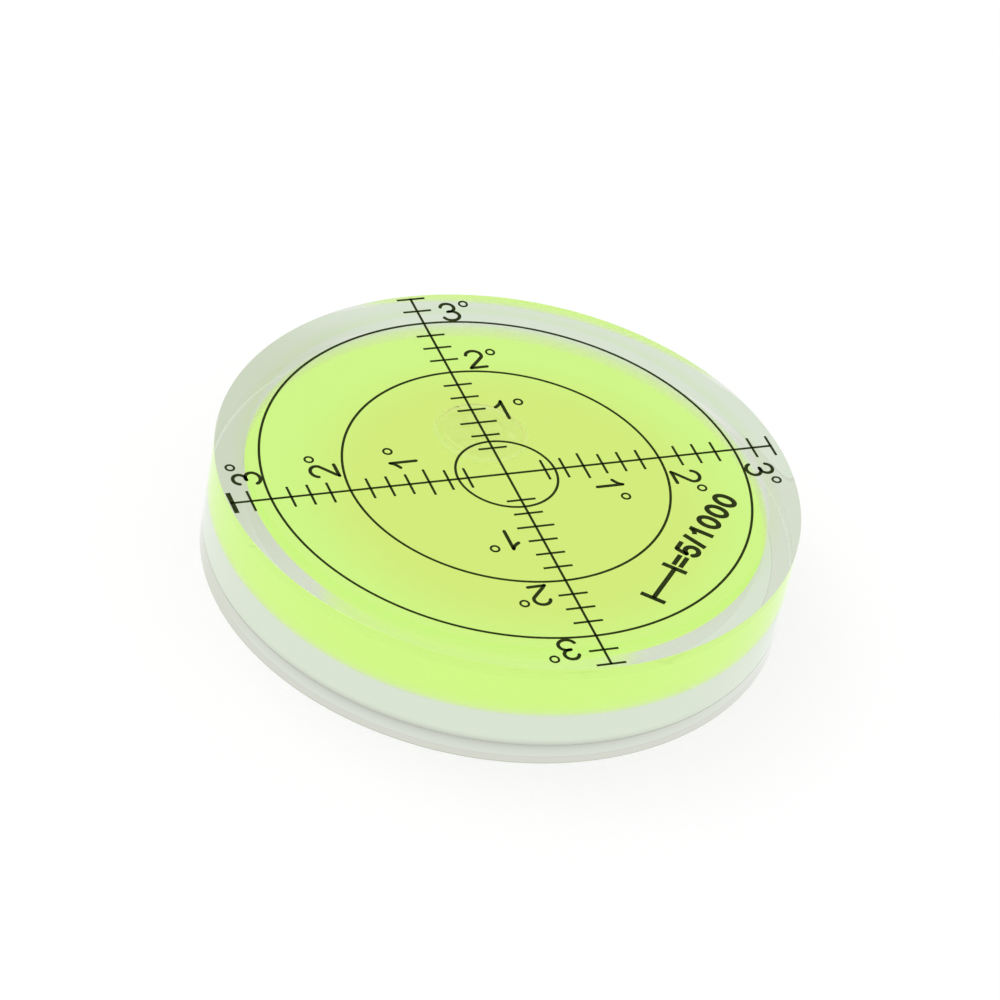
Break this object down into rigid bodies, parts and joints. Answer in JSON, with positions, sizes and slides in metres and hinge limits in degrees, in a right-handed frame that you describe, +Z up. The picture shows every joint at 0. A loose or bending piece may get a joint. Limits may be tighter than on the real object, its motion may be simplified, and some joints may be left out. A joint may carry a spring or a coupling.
{
  "type": "bullseye level",
  "caption": "Round bullseye level: a clear acrylic disc vial filled with green liquid and an air bubble, under a printed scale of rings and crossed arms.",
  "frame": {"origin": "middle of the underside", "axes": "+Z up along the disc's axis, +X and +Y along two arms of the printed scale"},
  "size_m": [0.06, 0.06, 0.0122],
  "materials": {
    "clear_acrylic": "polished clear acrylic",
    "clear_acrylic_base": "polished clear acrylic",
    "green_liquid": "transparent yellow-green liquid",
    "black_ink": "matt printing ink"
  },
  "bodies": {
    "root": {"vial_body": "clear_acrylic", "base_plate": "clear_acrylic_base", "liquid": "green_liquid", "dial_print": "black_ink"}
  },
  "joints": []
}
